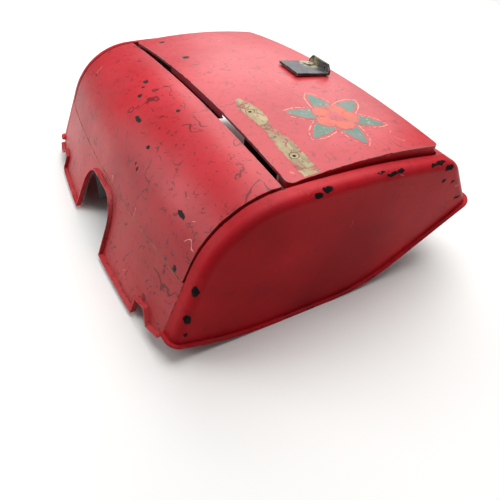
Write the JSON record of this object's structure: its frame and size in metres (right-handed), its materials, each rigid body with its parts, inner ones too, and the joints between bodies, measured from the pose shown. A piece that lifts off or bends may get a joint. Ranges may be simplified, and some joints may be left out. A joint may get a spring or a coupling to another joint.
{
  "type": "scooter glove box",
  "caption": "Pressed-steel glove box for a scooter's leg shield: bowed shell open at the back, arched over the frame's spine, with a crowned hinged door and a turn latch.",
  "frame": {"origin": "under the middle of the whole box, on the plane that its rim rests on", "axes": "+X across the box, along its hinge line; +Y from the wall that straddles the frame's spine to the wall beside the latch; +Z from the open back out through the door's face"},
  "size_m": [0.384, 0.338, 0.154],
  "materials": {
    "red_enamel": "aged gloss enamel, crazed, chipped and dulled",
    "dark_red_primer": "thin matt overspray",
    "grey_primer": "matt primer",
    "dark_steel": "darkened, oiled and dusty",
    "bare_steel": "dull, lightly rusted",
    "grey_latch_paint": "worn dark grey paint over cream",
    "black_rubber": "matt"
  },
  "bodies": {
    "box": {"right_cheek": "red_enamel", "left_cheek": "red_enamel", "lower_wall": "red_enamel", "upper_wall": "red_enamel", "curved_panel": "red_enamel", "right_joint_strip": "dark_red_primer", "left_joint_strip": "dark_red_primer", "crease_strip": "dark_red_primer", "right_aperture_rail": "dark_red_primer", "left_aperture_rail": "dark_red_primer", "latch_rail": "dark_red_primer", "strike_plate": "bare_steel", "spine_shroud": "grey_primer", "lower_mounting_tabs": "dark_red_primer", "upper_mounting_tabs": "dark_red_primer", "bump_stops": "black_rubber", "right_hinge_arm": "dark_steel", "left_hinge_arm": "dark_steel", "right_hinge_pin": "bare_steel", "left_hinge_pin": "bare_steel", "hinge_arm_rivets": "bare_steel"},
    "door": {"door_skin": "red_enamel", "door_stiffener": "dark_red_primer", "right_hinge_leaf": "dark_steel", "left_hinge_leaf": "dark_steel", "hinge_leaf_rivets": "bare_steel", "latch_washer": "bare_steel"},
    "latch": {"latch_plate": "grey_latch_paint", "latch_spindle": "bare_steel", "latch_cam": "bare_steel", "latch_nut": "bare_steel"}
  },
  "joints": [
    {"name": "door_hinge", "type": "hinge", "parent": "box", "child": "door", "pos_m": [0, -0.03161, 0.129], "axis": [1, 0, 0], "range_deg": [0, 90]},
    {"name": "latch_turn", "type": "hinge", "parent": "door", "child": "latch", "pos_m": [0, 0.08839, 0.1437], "axis": [0, 0.0852, 0.9964], "range_deg": [0, 90]}
  ]
}
